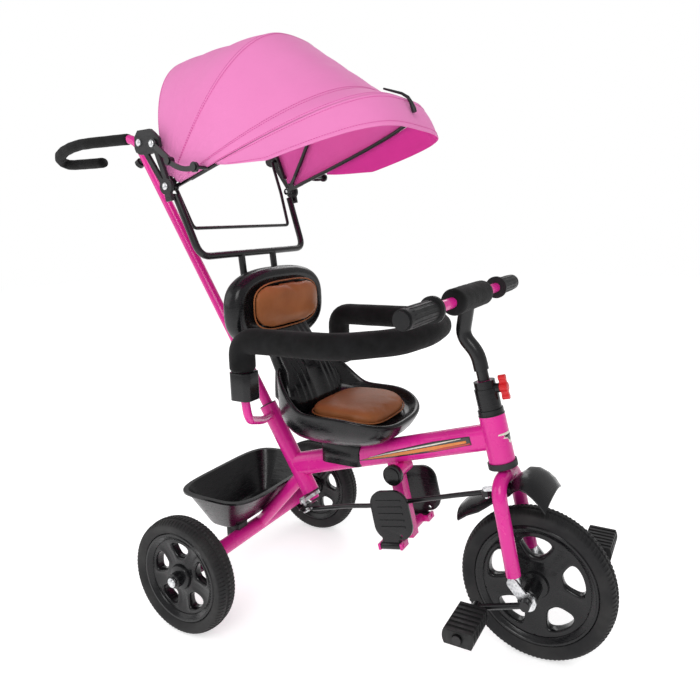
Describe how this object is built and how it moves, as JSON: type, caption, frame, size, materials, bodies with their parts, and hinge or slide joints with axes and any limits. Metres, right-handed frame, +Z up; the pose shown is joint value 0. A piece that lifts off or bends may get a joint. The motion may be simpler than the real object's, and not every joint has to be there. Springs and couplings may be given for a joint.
{
  "type": "children's push tricycle",
  "caption": "Child's tricycle with a steering push pole, padded seat, safety bar, folding canopy, rear basket, folding footrests and pedals on the front wheel.",
  "frame": {"origin": "on the ground, at the middle of the whole tricycle's length and width", "axes": "+X forwards, +Y to the rider's left, +Z up"},
  "size_m": [1.2419, 0.452, 0.9873],
  "materials": {
    "pink_enamel": "gloss",
    "black_enamel": "gloss",
    "zinc_plated": "satin",
    "canopy_cloth": "woven",
    "cushion_leather": "grained",
    "black_foam": "foam skin",
    "tyre_rubber": "matte",
    "soft_rubber": "moulded",
    "gloss_black_plastic": "gloss",
    "matte_black_plastic": "matte",
    "red_plastic": "gloss"
  },
  "bodies": {
    "frame": {"main_tube": "pink_enamel", "bearing_bushes": "matte_black_plastic", "pole_sleeve": "pink_enamel", "rear_stay": "pink_enamel", "axle_beam": "pink_enamel", "rear_axle": "zinc_plated", "bar_support": "pink_enamel", "bar_sockets": "gloss_black_plastic", "footrest_bracket": "pink_enamel", "seat_pan": "gloss_black_plastic", "seat_back": "gloss_black_plastic", "seat_cushion": "cushion_leather", "back_cushion": "cushion_leather", "basket": "gloss_black_plastic", "basket_saddles": "matte_black_plastic", "hood_frame": "black_enamel", "hood_mounts": "matte_black_plastic", "hood_rod": "black_enamel", "rear_bow": "black_enamel", "hood_bracket_r": "matte_black_plastic", "hood_bracket_l": "matte_black_plastic", "rivets": "zinc_plated", "canopy": "canopy_cloth"},
    "fork": {"fork": "pink_enamel", "dropouts": "zinc_plated", "fender": "gloss_black_plastic", "collar": "gloss_black_plastic", "steer_lug": "zinc_plated"},
    "handlebar": {"stem": "black_enamel", "crossbar": "pink_enamel", "bar_pad": "black_foam", "grips": "soft_rubber"},
    "clamp_knob": {"clamp_knob": "red_plastic"},
    "front_wheel": {"front_tyre": "tyre_rubber", "front_rim": "gloss_black_plastic", "crank": "black_enamel"},
    "pedal_r": {"pedal_r": "soft_rubber"},
    "pedal_l": {"pedal_l": "soft_rubber"},
    "rear_wheel_r": {"rear_tyre_r": "tyre_rubber", "rear_rim_r": "gloss_black_plastic"},
    "rear_wheel_l": {"rear_tyre_l": "tyre_rubber", "rear_rim_l": "gloss_black_plastic"},
    "push_pole": {"push_pole": "pink_enamel", "handle_foam": "black_foam", "pole_arm": "zinc_plated", "pole_knob": "gloss_black_plastic"},
    "link_rod": {"link_rod": "black_enamel"},
    "safety_bar": {"safety_bar": "black_foam", "bar_ends": "pink_enamel"},
    "footplate_r": {"footplate_r": "gloss_black_plastic"},
    "footplate_l": {"footplate_l": "gloss_black_plastic"},
    "footrest_knob": {"footrest_knob": "gloss_black_plastic"},
    "mid_bow": {"mid_bow": "black_enamel"},
    "front_bow": {"front_bow": "black_enamel", "visor": "canopy_cloth", "visor_clip": "matte_black_plastic"},
    "rear_lever_r": {"rear_lever_r": "black_enamel"},
    "rear_lever_l": {"rear_lever_l": "black_enamel"},
    "front_lever_r": {"front_lever_r": "black_enamel"},
    "front_lever_l": {"front_lever_l": "black_enamel"}
  },
  "joints": [
    {"name": "steering", "type": "hinge", "parent": "frame", "child": "fork", "pos_m": [0.4865, 0, 0.1225], "axis": [-0.23, 0, 0.9732], "range_deg": [-30, 30]},
    {"name": "handlebar_height", "type": "slide", "parent": "fork", "child": "handlebar", "axis": [-0.23, 0, 0.9732], "range_m": [0, 0.02]},
    {"name": "clamp_knob_turn", "type": "hinge", "parent": "fork", "child": "clamp_knob", "pos_m": [0.43997, 0, 0.42799], "axis": [0.9732, 0, 0.23], "continuous": true},
    {"name": "front_wheel_spin", "type": "hinge", "parent": "fork", "child": "front_wheel", "pos_m": [0.4985, 0, 0.1225], "axis": [0, 1, 0], "continuous": true},
    {"name": "pedal_r_spin", "type": "hinge", "parent": "front_wheel", "child": "pedal_r", "pos_m": [0.42241, -0.1095, 0.09778], "axis": [0, 1, 0], "continuous": true},
    {"name": "pedal_l_spin", "type": "hinge", "parent": "front_wheel", "child": "pedal_l", "pos_m": [0.57459, 0.1095, 0.14722], "axis": [0, 1, 0], "continuous": true},
    {"name": "rear_wheel_r_spin", "type": "hinge", "parent": "frame", "child": "rear_wheel_r", "pos_m": [-0.0525, -0.19, 0.1], "axis": [0, 1, 0], "continuous": true},
    {"name": "rear_wheel_l_spin", "type": "hinge", "parent": "frame", "child": "rear_wheel_l", "pos_m": [-0.0525, 0.19, 0.1], "axis": [0, 1, 0], "continuous": true},
    {"name": "pole_turn", "type": "hinge", "parent": "frame", "child": "push_pole", "pos_m": [0.0315, 0, 0.261], "axis": [-0.5045, 0, 0.8634], "range_deg": [-30, 30]},
    {"name": "link_swing", "type": "hinge", "parent": "fork", "child": "link_rod", "pos_m": [0.4255, -0.026, 0.266], "axis": [-0.23, 0, 0.9732], "range_deg": [-36, 36]},
    {"name": "bar_lift", "type": "slide", "parent": "frame", "child": "safety_bar", "axis": [0, 0, 1], "range_m": [0, 0.006]},
    {"name": "footplate_r_fold", "type": "hinge", "parent": "frame", "child": "footplate_r", "pos_m": [0.28082, -0.055, 0.15987], "axis": [0.9781, 0, 0.2079], "range_deg": [0, 90]},
    {"name": "footplate_l_fold", "type": "hinge", "parent": "frame", "child": "footplate_l", "pos_m": [0.28082, 0.055, 0.15987], "axis": [-0.9781, 0, -0.2079], "range_deg": [0, 90]},
    {"name": "footrest_knob_turn", "type": "hinge", "parent": "frame", "child": "footrest_knob", "pos_m": [0.2655, -0.03, 0.268], "axis": [0, 1, 0], "continuous": true},
    {"name": "hood_fold", "type": "hinge", "parent": "frame", "child": "front_bow", "pos_m": [-0.0605, 0, 0.744], "axis": [0, -1, 0], "range_deg": [0, 57], "deforming": ["canopy"]},
    {"name": "mid_bow_fold", "type": "hinge", "parent": "frame", "child": "mid_bow", "pos_m": [-0.0605, 0, 0.744], "axis": [0, -1, 0], "range_deg": [0, 34]},
    {"name": "rear_lever_r_fold", "type": "hinge", "parent": "frame", "child": "rear_lever_r", "pos_m": [-0.0785, -0.1655, 0.811], "axis": [0, -1, 0], "range_deg": [-34, 0]},
    {"name": "front_lever_r_fold", "type": "hinge", "parent": "rear_lever_r", "child": "front_lever_r", "pos_m": [-0.0425, -0.1655, 0.782], "axis": [0, -1, 0], "range_deg": [0, 114]},
    {"name": "rear_lever_l_fold", "type": "hinge", "parent": "frame", "child": "rear_lever_l", "pos_m": [-0.0785, 0.1655, 0.811], "axis": [0, -1, 0], "range_deg": [-34, 0]},
    {"name": "front_lever_l_fold", "type": "hinge", "parent": "rear_lever_l", "child": "front_lever_l", "pos_m": [-0.0425, 0.1655, 0.782], "axis": [0, -1, 0], "range_deg": [0, 114]}
  ],
  "couplings": [
    {"joint": "pole_turn", "follows": "steering", "ratio": 0.93},
    {"joint": "link_swing", "follows": "steering", "ratio": -1.053},
    {"joint": "mid_bow_fold", "follows": "hood_fold", "ratio": 0.53},
    {"joint": "rear_lever_r_fold", "follows": "hood_fold", "ratio": -0.571},
    {"joint": "rear_lever_l_fold", "follows": "hood_fold", "ratio": -0.571},
    {"joint": "front_lever_r_fold", "follows": "hood_fold", "ratio": 1.984},
    {"joint": "front_lever_l_fold", "follows": "hood_fold", "ratio": 1.984}
  ]
}
